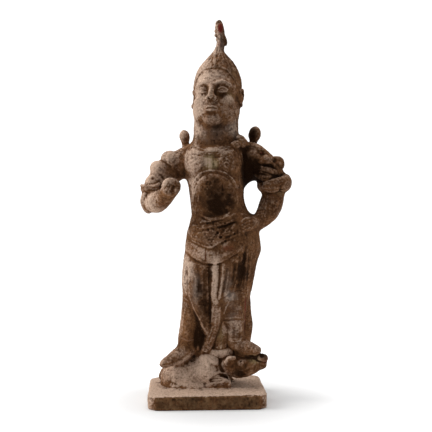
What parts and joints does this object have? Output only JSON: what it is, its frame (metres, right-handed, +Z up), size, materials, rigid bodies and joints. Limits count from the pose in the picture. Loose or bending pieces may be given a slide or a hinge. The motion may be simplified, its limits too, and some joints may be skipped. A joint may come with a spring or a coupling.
{
  "type": "guardian soldier figurine",
  "caption": "Earthenware guardian soldier in armour, fist raised and hand on hip, standing on a lying ox on a low plinth.",
  "frame": {"origin": "middle of the plinth's flat underside, which the figurine stands on", "axes": "+Z up, the figure's height; -Y is the way the guardian's chest faces; +X is towards his left hand and the ox's head"},
  "size_m": [0.2635, 0.1656, 0.657],
  "materials": {
    "earthenware": "matte"
  },
  "bodies": {
    "root": {"guardian_figurine": "earthenware"}
  },
  "joints": []
}
